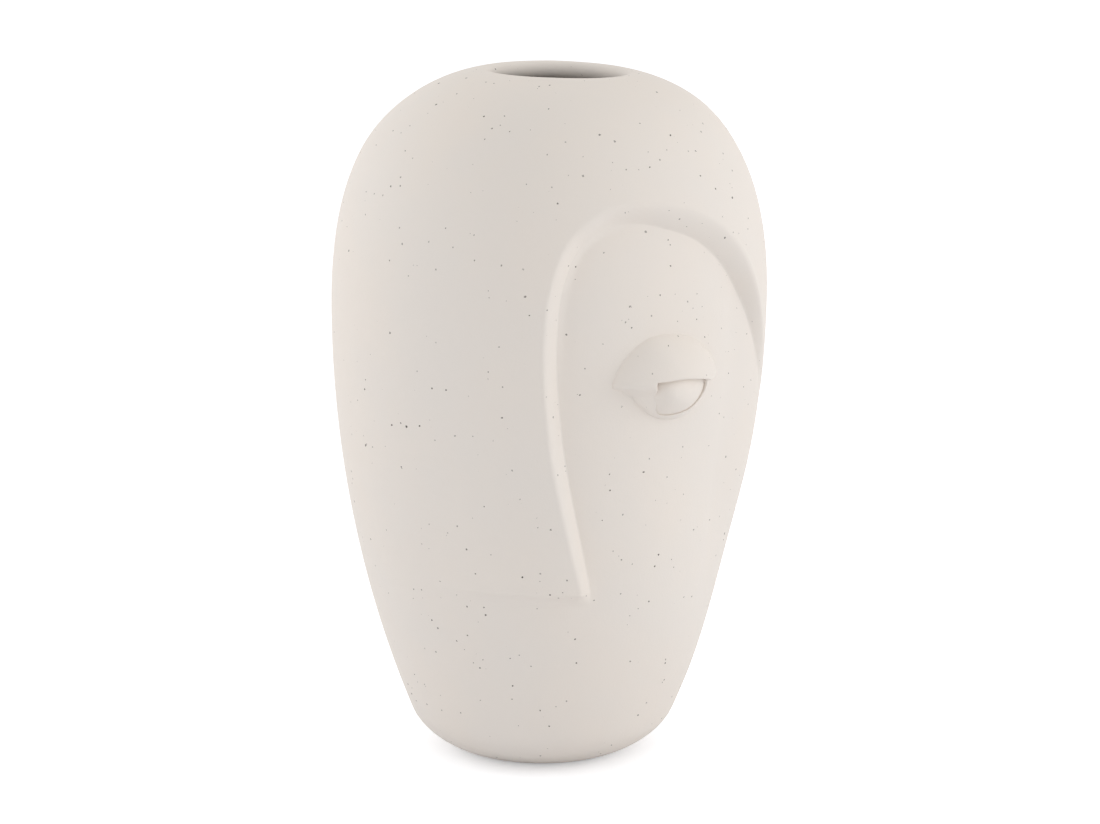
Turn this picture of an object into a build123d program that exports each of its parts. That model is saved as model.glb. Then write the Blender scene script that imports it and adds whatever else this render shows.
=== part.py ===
from build123d import *
import math
import os

import numpy as np

# A face vase: a hollow stoneware egg with a closed-in shoulder, a nose and brow
# moulded into its front, one applied eye, and a felt pad under its foot.
# The origin is on the table, under the middle of the foot. The face looks to -Y.
# Azimuths are in degrees from the front (-Y), positive towards +X.
# It is drawn upright, and leans a little to +X at the end.

# Turned form
height = 250.0
foot_radius = 29.7
foot_trim = 0.55
foot_pull = 2.2
heel_radius = 48.8
heel_height = 14.9
heel_slope = 67.8
heel_pull_down = 10.6
heel_pull_up = 61.7
belly_radius = 78.8
belly_height = 168.0
belly_pull_down = 42.2
belly_pull_up = 47.6
mouth_radius = 28.0
mouth_pull = 34.3
mouth_slope = 10.4
lean_angle = 0.92

# Wall of clay
wall = 6.0
lip_thickness = 4.4
lip_blend = 60.0
floor_thickness = 8.0
floor_radius = 26.0

# Brow and nose line: azimuth in degrees, and share of the height
brow_line_shares = (
    (9.0, 0.100),
    (12.6, 0.210),
    (13.9, 0.290),
    (10.6, 0.363),
    (6.8, 0.446),
    (4.3, 0.513),
    (2.4, 0.600),
    (2.0, 0.665),
    (3.2, 0.728),
    (7.0, 0.782),
    (13.5, 0.814),
    (24.0, 0.824),
    (34.0, 0.815),
    (44.3, 0.794),
    (56.0, 0.758),
    (66.5, 0.716),
    (78.5, 0.662),
    (92.0, 0.585),
    (105.0, 0.490),
    (118.0, 0.390),
    (131.0, 0.290),
)
# Width of the bank beside that line, as shares of the nose bank's width
bank_width_shares = (
    1.0, 1.0, 1.0, 1.0, 1.0, 1.0, 1.0, 1.0, 1.05, 1.1, 1.15,
    1.3, 1.5, 1.6, 1.6, 1.6, 1.6, 1.6, 1.6, 1.6, 1.6,
)
bank_width = 4.6
bank_least_slope_share = 0.8
bank_overshoot = 6.0

# Ground of the socket: the turned form again, larger, and moved back from the eye
socket_depth = 7.6
socket_growth = 6.4
socket_azimuth = 35.0
chin_height = 48.0
cheek_height = 108.0
chin_clear = 1.0
chin_ease = 16.0
ground_bottom = 18.0
ground_rise = 26.0

# Nose: the turned form again, smaller, and moved forward
nose_height = 3.6
nose_azimuth = 6.0
nose_shift = 12.8
nose_bottom = 73.2
nose_bottom_run = 3.6
nose_root = 165.0
nose_clear = 1.6
nose_ease = 9.0

# Eye
eye_azimuth = 36.4
eye_height = 150.5
lid_half_length = 25.8
lid_radius = 17.6
lid_sink = 10.1
lid_edge_drop = 3.4
under_lid_half_length = 24.8
under_lid_radius = 19.0
under_lid_sink = 12.2
under_lid_offset = 0.8
under_lid_drop = 1.2
window_left = 10.2
window_right = 14.6
window_drop = 2.4
window_bottom = 13.6
window_corner = 6.0
eyeball_half_length = 19.0
eyeball_radius = 15.0
eyeball_sink = 11.6
eyeball_offset = 4.0
eyeball_drop = 3.0
sprig_gap = 0.3

# Foot
felt_proud = 0.5
felt_radius = 26.7
felt_thickness = 1.6
felt_gap = 0.3

# Points on the curves that follow the turned form
curve_points = 11
form_samples = 200


def smooth(share):
    """Rises from 0 to 1 as share does, level at both ends."""
    s = np.clip(share, 0, 1)
    return s * s * (3 - 2 * s)


def profile_curves():
    """The three curves of the outside: foot round, side and shoulder. Radius is along X, height along Z."""
    up = Vector(math.cos(math.radians(heel_slope)), 0, math.sin(math.radians(heel_slope)))
    down = Vector(math.cos(math.radians(mouth_slope)), 0, -math.sin(math.radians(mouth_slope)))
    foot = Vector(foot_radius, 0, -foot_trim)
    heel = Vector(heel_radius, 0, heel_height)
    belly = Vector(belly_radius, 0, belly_height)
    mouth = Vector(mouth_radius, 0, height)
    return (
        Bezier(foot, foot + Vector(foot_pull, 0, 0), heel - up * heel_pull_down, heel),
        Bezier(heel, heel + up * heel_pull_up, belly - Vector(0, 0, belly_pull_down), belly),
        Bezier(belly, belly + Vector(0, 0, belly_pull_up), mouth + down * mouth_pull, mouth),
    )


def form_places():
    """Places up the side and over the shoulder, as rows of radius and height."""
    shares = np.linspace(0, 1, form_samples)
    side, shoulder = profile_curves()[1:]
    places = [side @ s for s in shares] + [shoulder @ s for s in shares[1:]]
    return np.array([(place.X, place.Z) for place in places])


def form_radius(level):
    """Radius of the turned form at a level."""
    places = form_places()
    return np.interp(level, places[:, 1], places[:, 0])


def under_form(depth):
    """Places at a depth below the turned form, square to it. The depth may change along it."""
    places = form_places()
    run = np.gradient(places, axis=0)
    run /= np.linalg.norm(run, axis=1)[:, None]
    return places - np.stack((run[:, 1], -run[:, 0]), axis=1) * depth


def turned(*edges):
    """A solid turned about the upright axis. Its ends are closed straight to that axis."""
    first, last = edges[0] @ 0, edges[-1] @ 1
    low, high = Vector(0, 0, first.Z), Vector(0, 0, last.Z)
    return revolve(make_face([Line(low, first), *edges, Line(last, high), Line(high, low)]), Axis.Z)


def curve_through(radii, levels):
    """A smooth curve through places given by radius and level."""
    return Spline([Vector(radius, 0, level) for radius, level in zip(radii, levels)])


def toward(azimuth, distance):
    """A level step of a distance towards an azimuth."""
    turn = math.radians(azimuth)
    return Pos(distance * math.sin(turn), -distance * math.cos(turn), 0)


def brow_top():
    """Level of the brow line's highest place."""
    return height * max(share for azimuth, share in brow_line_shares)


def socket_depth_at(level):
    """Depth of the socket's ground at its own azimuth. It is below 0 under the chin."""
    share = (level - chin_height + chin_ease) / (cheek_height - chin_height + chin_ease)
    return (socket_depth + chin_clear) * smooth(share) - chin_clear


def inner_depth_at(level):
    """Depth of the ground inside the wall, which also fades above the brow."""
    fade = smooth((level - brow_top()) / (ground_rise - wall))
    return socket_depth_at(level) * (1 - fade) - wall / 2 * fade


def nose_height_at(level):
    """How far the nose stands out of the turned form along its ridge. It is below 0 above its root."""
    share = (nose_root - level + nose_ease) / (nose_root - nose_bottom + nose_ease)
    return (nose_height + nose_clear) * smooth(share) - nose_clear


def make_ground(depth_at):
    """The turned form made larger and moved back, so that it lies at the given depth below the eye
    and comes out of the form at the chin and behind the temple."""
    shift = socket_growth + socket_depth
    levels = np.linspace(ground_bottom, brow_top() + ground_rise, curve_points)
    radii = form_radius(levels) + shift - depth_at(levels)
    return toward(socket_azimuth, -shift) * turned(curve_through(radii, levels))


def make_nose():
    """The turned form made smaller and moved forward, so that it comes out of the form as the nose,
    cut off below by a cone."""
    under = nose_bottom - nose_bottom_run
    levels = np.linspace(under - nose_bottom_run, nose_root + nose_ease, curve_points)
    radii = form_radius(levels) - nose_shift + nose_height_at(levels)
    nose = toward(nose_azimuth, nose_shift) * turned(curve_through(radii, levels))
    inner = Vector(form_radius(under), 0, under)
    outer = Vector(form_radius(nose_bottom) + nose_height, 0, nose_bottom)
    slope = Line(inner - (outer - inner), outer + (outer - inner))
    side = Line(slope @ 1, Vector((slope @ 1).X, 0, height))
    return nose & turned(slope, side)


def brow_ribbon():
    """The bank's surface, straight across from its outer edge to the crease on the socket's ground,
    and carried on past both."""
    azimuth = np.array([row[0] for row in brow_line_shares])
    up = np.array([row[1] for row in brow_line_shares]) * height
    width = np.array(bank_width_shares) * bank_width
    turn = np.radians(azimuth)
    ahead = np.stack((np.gradient(turn * belly_radius), np.gradient(up)), axis=1)
    ahead /= np.linalg.norm(ahead, axis=1)[:, None]
    edge_turn = turn - ahead[:, 1] * width / belly_radius
    edge_up = up + ahead[:, 0] * width
    shift = socket_growth + socket_depth
    back = shift * (1 - np.cos(turn - math.radians(socket_azimuth)))
    depth = np.maximum(socket_depth_at(up) - back, bank_least_slope_share * width)
    nose = np.clip(nose_height_at(edge_up), 0, None) * (azimuth < socket_azimuth)
    crease = around(form_radius(up) - depth, turn, up)
    edge = around(form_radius(edge_up) + nose, edge_turn, edge_up)
    step = edge - crease
    step *= bank_overshoot / np.linalg.norm(step, axis=1)[:, None]
    outer = Spline([Vector(*place) for place in edge + step])
    inner = Spline([Vector(*place) for place in crease - step])
    return Face.make_surface_from_curves(outer, inner)


def around(radius, turn, level):
    """Places at a radius, an azimuth in radians and a level."""
    return np.stack((radius * np.sin(turn), -radius * np.cos(turn), level), axis=1)


def carve_socket(outside, ground):
    """The outside less the piece that lies over the ground and within the brow line."""
    eye = Vertex(*eye_plane().origin)
    over = min((outside - ground).solids(), key=lambda piece: piece.distance_to(eye))
    pieces = over.split(brow_ribbon(), keep=Keep.ALL)
    return outside - min(pieces, key=lambda piece: piece.distance_to(eye))


def make_shell():
    """The wall before the face is worked into it: turned in one, around the lip and down the inside."""
    foot_round, side, shoulder = profile_curves()
    places = form_places()
    thick = wall - (wall - lip_thickness) * smooth((places[:, 1] - height + lip_blend) / lip_blend)
    inside = under_form(thick[:, None])
    rows = np.linspace(0, len(inside) - 1, curve_points).astype(int)
    rows = rows[inside[rows, 1] > heel_height + wall]
    inner = curve_through(*inside[rows[::-1]].T)
    mouth = Vector(mouth_radius, 0, height)
    on = shoulder % 1
    crest = mouth + (on + Vector(-on.Z, 0, on.X)) * (lip_thickness / 2)
    lip = ThreePointArc(mouth, crest, inner @ 0)
    turn_in = inner % 1
    corner = inner @ 1
    reach = (corner.Z - floor_thickness) / 2
    edge = Vector(floor_radius, 0, floor_thickness)
    floor_round = Bezier(corner, corner + turn_in * reach, edge + Vector(reach, 0, 0), edge)
    middle = Vector(0, 0, floor_thickness)
    foot = foot_round @ 0
    under = Vector(0, 0, foot.Z)
    outline = [
        Line(under, foot),
        foot_round,
        side,
        shoulder,
        lip,
        inner,
        floor_round,
        Line(edge, middle),
        Line(middle, under),
    ]
    return revolve(make_face(outline), Axis.Z)


def middle_of_wall():
    """The form halfway into the wall, over the levels where the ground inside the wall may come in."""
    middle = under_form(wall / 2)
    keep = (middle[:, 1] > chin_height - chin_ease / 2) & (middle[:, 1] < brow_top() + ground_rise - wall / 2)
    places = middle[keep]
    rows = np.linspace(0, len(places) - 1, curve_points).astype(int)
    return turned(curve_through(*places[rows].T))


def inner_ground():
    """The ground inside the wall, a wall's thickness below the socket's."""
    return make_ground(lambda level: inner_depth_at(level) + wall)


def eye_plane():
    """Plane square to the socket's ground at the eye: x to the right, y up, z out of the face."""
    turn = math.radians(eye_azimuth)
    shift = socket_growth + socket_depth
    back = shift * (1 - math.cos(turn - math.radians(socket_azimuth)))
    levels = np.array((eye_height - lid_radius, eye_height, eye_height + lid_radius))
    below, here, above = form_radius(levels) - socket_depth_at(levels) + back
    out = Vector(math.sin(turn), -math.cos(turn), 0)
    right = Vector(math.cos(turn), math.sin(turn), 0)
    square = out - Vector(0, 0, (above - below) / (2 * lid_radius))
    return Plane(origin=out * here + Vector(0, 0, eye_height), x_dir=right, z_dir=square)


def mound(half_length, radius, sink, across, down):
    """A rounded mound of clay, round about its length, with its middle sunk below the socket's ground."""
    arc = EllipticalCenterArc((0, 0), half_length, radius, start_angle=0, arc_size=180)
    half = make_face([arc, Line(arc @ 1, arc @ 0)])
    return Pos(across, -down, -sink) * revolve(half, Axis.X)


def window_outline():
    """Opening of the lid: straight along the nose side, arched above, slanting on the right and round below."""
    top_left = (-window_left, 0)
    top_right = (window_right, -window_drop)
    slant = (window_right - window_corner / 2, -(window_bottom + window_drop) / 2)
    low_left = (window_corner - window_left, -window_bottom)
    upper = ThreePointArc(top_left, ((window_right - window_left) / 2, 0), top_right)
    lower = Spline(top_right, slant, low_left, tangents=((0, -1), (-1, 0)))
    corner = RadiusArc(low_left, (-window_left, window_corner - window_bottom), window_corner)
    side = Line(corner @ 1, top_left)
    return make_face([upper, lower, corner, side])


def make_eye(seat):
    """The lid with its opening, and the ball of the eye behind it, both cut to the ground they sit on."""
    lid = mound(lid_half_length, lid_radius, lid_sink, 0, 0)
    size = lid_half_length * 3
    below = Pos(0, -lid_edge_drop - size / 2, 0) * Box(size, size, size)
    lid -= below
    lid += mound(under_lid_half_length, under_lid_radius, under_lid_sink, under_lid_offset, under_lid_drop)
    ball = mound(eyeball_half_length, eyeball_radius, eyeball_sink, eyeball_offset, eyeball_drop)
    clearance = mound(
        eyeball_half_length + sprig_gap, eyeball_radius + sprig_gap, eyeball_sink, eyeball_offset, eyeball_drop
    )
    opening = Pos(0, 0, -size / 2) * extrude(window_outline(), size)
    lid = lid - clearance - opening
    place = eye_plane().location
    return place * lid - seat, place * ball - seat


def main():
    os.makedirs("parts", exist_ok=True)
    shell = make_shell()
    middle = middle_of_wall()
    ground = make_ground(socket_depth_at)
    body = shell + (make_nose() - middle) + (middle - inner_ground())
    body = carve_socket(body, ground)
    seat = make_ground(lambda level: socket_depth_at(level) - sprig_gap)
    lid, ball = make_eye(seat)
    lean = Pos(0, 0, felt_proud) * Rot(0, lean_angle, 0)
    size = 2 * height
    table = Pos(0, 0, felt_proud - height) * Box(size, size, size)
    recess = Cylinder(felt_radius + felt_gap, felt_thickness, align=(Align.CENTER, Align.CENTER, Align.MIN))
    parts = {
        "vase_body": lean * body - table - recess,
        "eyelid": lean * lid,
        "eyeball": lean * ball,
        "foot_felt": Cylinder(felt_radius, felt_thickness, align=(Align.CENTER, Align.CENTER, Align.MIN)),
    }
    for name, part in parts.items():
        part.label = name
        export_step(part, f"parts/{name}.step")


main()
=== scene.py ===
import math

import bpy
import numpy as np
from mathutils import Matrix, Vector


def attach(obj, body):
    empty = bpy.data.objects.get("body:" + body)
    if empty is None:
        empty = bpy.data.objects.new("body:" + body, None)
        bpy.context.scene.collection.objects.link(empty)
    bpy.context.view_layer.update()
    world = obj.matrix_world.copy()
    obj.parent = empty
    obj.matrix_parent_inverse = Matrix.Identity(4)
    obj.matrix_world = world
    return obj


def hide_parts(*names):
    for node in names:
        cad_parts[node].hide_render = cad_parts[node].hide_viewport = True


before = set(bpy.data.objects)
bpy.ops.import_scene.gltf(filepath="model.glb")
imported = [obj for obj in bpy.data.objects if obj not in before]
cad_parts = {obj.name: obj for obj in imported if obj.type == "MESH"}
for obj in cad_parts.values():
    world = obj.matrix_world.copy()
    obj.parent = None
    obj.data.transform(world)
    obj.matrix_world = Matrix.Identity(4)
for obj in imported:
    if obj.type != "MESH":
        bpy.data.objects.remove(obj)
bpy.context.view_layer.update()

bl_info = {
    "name": "Face vase",
    "version": (1, 0, 0),
    "blender": (4, 5, 0),
    "location": "3D View > Sidebar > Face vase",
    "description": "Makes a speckled stoneware vase with a nose, a brow and one lidded eye in relief",
    "category": "Add Mesh",
}

MM = 0.001

# Turned form, in millimetres. A profile point is (radius, height).
HEIGHT = 250.0
PROUD = 0.5  # the felt lifts the foot this far off the ground
FOOT = (29.7, 0.0)
HEEL = (48.8, 14.9)
BELLY = (78.8, 168.0)
MOUTH = (28.0, 250.0)
FOOT_CURVE = (FOOT, (31.9, 0.0), (44.79, 5.09), HEEL)
SIDE_CURVE = (HEEL, (72.11, 72.03), (78.8, 125.8), BELLY)
SHOULDER_CURVE = (BELLY, (78.8, 215.6), (61.74, 243.81), MOUTH)
LEAN = 0.01606  # way to the right per millimetre of height
MOUTH_SHIFT = 1.8  # how far the mouth sits to the right of the lean's line
MOUTH_DROP = 0.02  # fall of the top per millimetre to the right
TOP_START, TOP_RUN = 222.0, 26.0  # where that shift and fall begin, and the height over which they grow
INSET = 0.03  # the skin lies this far inside the solid
AXIS = 0.4  # radius of the smallest ring, round the axis
RECESS_ROOF = 26.6  # radius of the flat roof of the recess under the foot
RECESS_EDGE = ((27.0, 1.1), (27.0, 0.6), (27.0, 0.25), (27.15, 0.06), (27.4, 0.0), (28.5, 0.0))
FLOOR = 8.0  # height of the floor inside
FLOOR_FLAT, FLOOR_TURN = 24.0, 5.0  # radius of its flat part, and the reach of the curve up to the wall
LIP_START = 165.0  # height from which the wall thickens towards the lip
WALL_LOW = 26.0  # height where the inside of the wall begins to turn into the floor

# Brow and nose line: azimuth in degrees, height, the width of the bank beside it, and how soft its crease is
BROW_LINE = (
    (10.5, 33.0, 20.0, 1.0),
    (12.9, 54.0, 20.0, 1.0),
    (13.7, 66.5, 14.0, 1.0),
    (13.8, 73.5, 5.6, 0.2),
    (10.6, 90.8, 5.4, 0.0),
    (6.8, 111.5, 5.4, 0.0),
    (4.3, 128.3, 5.3, 0.05),
    (2.4, 150.0, 5.0, 0.15),
    (2.0, 166.3, 4.8, 0.25),
    (3.2, 182.0, 5.0, 0.35),
    (7.0, 195.2, 5.8, 0.6),
    (12.6, 201.6, 6.8, 0.9),
    (18.9, 204.6, 7.6, 0.9),
    (27.0, 204.2, 8.2, 0.4),
    (35.0, 202.0, 8.6, 0.0),
    (42.6, 199.0, 8.7, 0.0),
    (49.0, 195.1, 8.3, 0.0),
    (55.4, 189.4, 7.2, 0.0),
    (61.2, 183.1, 5.6, 0.0),
    (66.0, 176.5, 4.2, 0.0),
    (70.3, 169.5, 3.2, 0.0),
    (74.0, 162.3, 2.8, 0.0),
    (77.5, 154.4, 2.6, 0.0),
    (81.0, 146.0, 2.6, 0.0),
    (85.0, 137.0, 3.0, 0.0),
    (90.5, 126.5, 4.0, 0.0),
    (98.0, 113.0, 6.0, 0.0),
    (108.0, 96.0, 9.0, 0.0),
    (120.0, 76.0, 12.0, 0.0),
)
CORNER = 10  # row of the line where the nose turns into the brow
LINE_STEPS = 10  # places worked out from one row of the line to the next

# Face, in degrees of azimuth and millimetres of height: where a change begins, and how far it runs
SIDE_START, SIDE_RUN = 25.0, 60.0  # chin and cheek lie lower towards the side
TURN_START, TURN_RUN = 130.0, 70.0  # the socket reaches further round, downwards from here
NOSE_START, NOSE_RUN, NOSE_END = -38.0, 44.0, 40.0  # the nose's swell, from the left cheek
NOSE_TOP = 165.0  # the swell grows from here down to the tip
NOSE_EDGE = 1.8  # power of the slope under the tip
INNER_START, INNER_RUN = 22.0, 26.0  # the wall's inside starts to sink this far outside the line

# Azimuths where the columns of the body's mesh change their spacing, and heights where its rows do
BACK, LEFT_CHEEK, NOSE_SIDE, FOREHEAD, TEMPLE, NAPE = -120.0, -58.0, -12.0, 30.0, 100.0, 140.0
TURN = 360.0
BACK_RUN = 60.0  # the rows leave the brow's line over this far past the temple
COLUMN_DRIFT = 6.0  # the nose's column runs on to the left by this much above the corner
BROW_LOW, BROW_HIGH, SIDE_TOP = 182.0, 208.0, 238.0


def smooth(share):
    """Rises from 0 to 1 as share does, as 3s^2 - 2s^3, level at both ends."""
    s = np.clip(share, 0.0, 1.0)
    return s * s * (3.0 - 2.0 * s)


def bezier(points, shares):
    """Cubic curve: each control point weighted by its Bernstein polynomial of the share."""
    s = np.asarray(shares, float)[:, None]
    a, b, c, d = (np.array(p, float) for p in points)
    return (1 - s) ** 3 * a + 3 * (1 - s) ** 2 * s * b + 3 * (1 - s) * s**2 * c + s**3 * d


def line_through(rows, steps):
    """Cubic Hermite line through the rows, with each row's slope the mean of its two neighbours' run."""
    rows = np.array(rows, float)
    slope = np.gradient(rows, axis=0)
    s = np.linspace(0, 1, steps, endpoint=False)[None, :, None]
    start, end = rows[:-1, None], rows[1:, None]
    ahead, behind = slope[:-1, None], slope[1:, None]
    spans = (
        (2 * s**3 - 3 * s**2 + 1) * start
        + (s**3 - 2 * s**2 + s) * ahead
        + (3 * s**2 - 2 * s**3) * end
        + (s**3 - s**2) * behind
    )
    return np.vstack((spans.reshape(-1, rows.shape[1]), rows[-1:]))


def side_radius(height):
    """Radius of the turned form at a height, read from its side and shoulder curves."""
    shares = np.linspace(0, 1, 400)
    curve = np.vstack((bezier(SIDE_CURVE, shares), bezier(SHOULDER_CURVE, shares)[1:]))
    return np.interp(height, curve[:, 1], curve[:, 0])


def line_distance(azimuth, height):
    """Distance from the brow line over the unrolled front, more than 0 in the socket, the bank's width
    and the softness of its crease.

    It is the shortest distance to any stretch of the line, with its sign from the side of that stretch. Each
    row of the grid is one array operation against all stretches, which keeps the arrays small."""
    rows = line_through(BROW_LINE, LINE_STEPS)
    rows[:, 0] *= math.radians(BELLY[0])
    start, run = rows[:-1], np.diff(rows, axis=0)
    length2 = (run[:, :2] ** 2).sum(1)
    signed, width, soft = (np.empty_like(azimuth) for _ in range(3))
    for row, (across, up) in enumerate(zip(np.radians(azimuth) * BELLY[0], height)):
        reach_x, reach_y = across[:, None] - start[:, 0], up[:, None] - start[:, 1]
        share = np.clip((reach_x * run[:, 0] + reach_y * run[:, 1]) / length2, 0, 1)
        gap_x, gap_y = reach_x - share * run[:, 0], reach_y - share * run[:, 1]
        apart = np.hypot(gap_x, gap_y)
        best = apart.argmin(axis=1)
        pick = np.arange(len(across)), best
        side = run[best, 0] * gap_y[pick] - run[best, 1] * gap_x[pick]
        signed[row] = np.where(side < 0, 1, -1) * apart[pick]
        width[row] = start[best, 2] + share[pick] * run[best, 2]
        soft[row] = start[best, 3] + share[pick] * run[best, 3]
    return signed, width, soft


def socket_ground(azimuth, height, relief):
    """Depth of the socket's ground: the full depth, fading out to the chin and past the temple.

    Towards the side the chin and cheek lie lower, and under the eye the ground reaches further round."""
    round_side = smooth((azimuth - SIDE_START) / SIDE_RUN)
    chin = relief.chin - relief.chin_fall * round_side
    cheek = relief.cheek - relief.cheek_fall * round_side
    rise = smooth((height - chin) / (cheek - chin))
    end = relief.temple_end + relief.cheek_turn * smooth((TURN_START - height) / TURN_RUN)
    fade = smooth((end - azimuth) / (end - relief.temple_start))
    return relief.socket_depth * rise * fade


def face_relief(azimuth, height, relief):
    """Height of the face over the turned form: nose swell outside the line, socket ground inside it.

    Between them runs the bank. It leaves the outside softly and meets the ground in a crisp crease, and
    where the crease is soft it runs on into the ground as a smooth slope."""
    inside, width, soft = line_distance(azimuth, height)
    crisp = np.clip(1 + inside / width, 0, 1) ** relief.bank_softness
    bank = crisp + soft * (smooth((inside + width) / (width + relief.crease_run)) - crisp)
    swell = smooth((azimuth - NOSE_START) / NOSE_RUN) * (azimuth < NOSE_END)
    fall = smooth((NOSE_TOP - height) / (NOSE_TOP - relief.nose_bottom))
    edge = np.clip((height - relief.nose_bottom) / relief.nose_bottom_run + 1, 0, 1) ** NOSE_EDGE
    nose = relief.nose_height * swell * fall * edge
    return (1 - bank) * nose - bank * socket_ground(azimuth, height, relief)


def inner_relief(azimuth, height, relief):
    """Inside of the wall behind the socket: the same ground with its bank spread wide."""
    inside = line_distance(azimuth, height)[0]
    return -smooth((inside + INNER_START) / INNER_RUN) * socket_ground(azimuth, height, relief)


def leaned(radius, azimuth, height):
    """Places on the standing vase, in metres: x = r sin a + lean z, y = -r cos a, z tips with the lean.

    Near its top the form leans a little more, by up to MOUTH_SHIFT at the mouth, and drops to the right.
    The skin is drawn in by INSET all round, and its heights shrink to match."""
    turn = np.radians(azimuth)
    x, y = (radius - INSET) * np.sin(turn), -(radius - INSET) * np.cos(turn)
    near_top = smooth((height - TOP_START) / TOP_RUN)
    x = x + MOUTH_SHIFT * near_top
    z = height * (1 - 2 * INSET / HEIGHT) - MOUTH_DROP * near_top * np.maximum(x, 0.0)
    return np.stack((x + LEAN * z, y, z - LEAN * x * z / HEIGHT + PROUD), axis=-1) * MM


def spread(start, end, step, finer, share):
    """Values from start to end, about step apart, closing up to finer near the end named by share 0 or 1."""
    count = max(int(abs(end - start) / step * 1.3), 3)
    s = np.linspace(0, 1, count + 1)
    pull = 1 - min(finer / step, 1)
    eased = s + pull * (s * s - s) if share == 0 else s + pull * (s - s * s)
    return start + (end - start) * eased


def face_columns():
    """Azimuths of the mesh's columns where they cross the brow: fine at the nose line, coarse behind."""
    nose = BROW_LINE[CORNER][0]
    return np.concatenate(
        (
            np.linspace(BACK, LEFT_CHEEK, 12, endpoint=False),
            np.linspace(LEFT_CHEEK, NOSE_SIDE, 34, endpoint=False),
            spread(NOSE_SIDE, nose, 0.75, 0.36, 1)[:-1],
            spread(nose, FOREHEAD, 0.85, 0.4, 0)[:-1],
            np.linspace(FOREHEAD, TEMPLE, 76, endpoint=False),
            np.linspace(TEMPLE, NAPE, 26, endpoint=False),
            np.linspace(NAPE, BACK + TURN, 18, endpoint=False),
        )
    )


def face_rows(relief):
    """Levels of the mesh's rows where they cross the nose line: fine under the nose and at the brow."""
    tip, corner = relief.nose_bottom, BROW_LINE[CORNER][1]
    low = tip - relief.nose_bottom_run
    return np.concatenate(
        (
            np.linspace(HEEL[1], low - 2, 26, endpoint=False),
            np.linspace(low - 2, low, 4, endpoint=False),
            np.linspace(low, tip, 9),
            np.linspace(tip + 0.4, tip + 3, 5, endpoint=False),
            np.linspace(tip + 3, BROW_LOW, 84, endpoint=False),
            spread(BROW_LOW, corner, 1.0, 0.5, 1)[:-1],
            spread(corner, BROW_HIGH, 0.8, 0.35, 0)[:-1],
            np.linspace(BROW_HIGH, SIDE_TOP, 20),
        )
    )


def face_grid(relief):
    """Azimuth and height of each place on the side, for each row and column.

    Columns follow the nose line and rows follow the brow, so the crease lies along the mesh's edges. The
    corner's column moves to the nose line's azimuth at each row, and the others share out the way to the
    seam. The corner's row moves to the brow's height at each column: height = row + (brow - corner) w,
    with w falling from 1 at the corner's row to 0 at the top and the bottom."""
    columns, rows = face_columns(), face_rows(relief)
    line = line_through(BROW_LINE, LINE_STEPS)
    corner_azimuth, corner_height = BROW_LINE[CORNER][:2]
    nose, brow = line[: CORNER * LINE_STEPS + 1], line[CORNER * LINE_STEPS :]
    nose_azimuth = np.interp(rows, nose[:, 1], nose[:, 0])
    above = smooth((rows - corner_height) / (rows[-1] - corner_height))
    nose_azimuth = np.where(rows > corner_height, corner_azimuth - COLUMN_DRIFT * above, nose_azimuth)
    followed = np.interp(columns, brow[:, 0], brow[:, 1], left=corner_height)
    back = smooth((columns - TEMPLE) / BACK_RUN)
    brow_height = np.where(columns > corner_azimuth, followed * (1 - back) + corner_height * back, corner_height)
    left = (columns - BACK) / (corner_azimuth - BACK)
    right = (columns - corner_azimuth) / (BACK + TURN - corner_azimuth)
    start = nose_azimuth[:, None]
    azimuth = np.where(
        columns <= corner_azimuth, BACK + (start - BACK) * left, start + (BACK + TURN - start) * right
    )
    below = (rows - rows[0]) / (corner_height - rows[0])
    over = (rows[-1] - rows) / (rows[-1] - corner_height)
    weight = np.where(rows <= corner_height, below, over)[:, None]
    height = rows[:, None] + (brow_height - corner_height)[None] * weight
    return azimuth, height


def front_azimuth(azimuth):
    """The same azimuth counted from -180 to 180 degrees, with 0 at the front."""
    return np.where(azimuth > TURN / 2, azimuth - TURN, azimuth)


def low_profile():
    """Profile under the side: roof and edge of the recess under the foot, and the foot's curve."""
    roof = np.stack((np.linspace(AXIS, RECESS_ROOF, 8), np.full(8, RECESS_EDGE[0][1])), axis=1)
    return np.vstack((roof, RECESS_EDGE, bezier(FOOT_CURVE, np.linspace(0, 1, 14))[:-1]))


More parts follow.
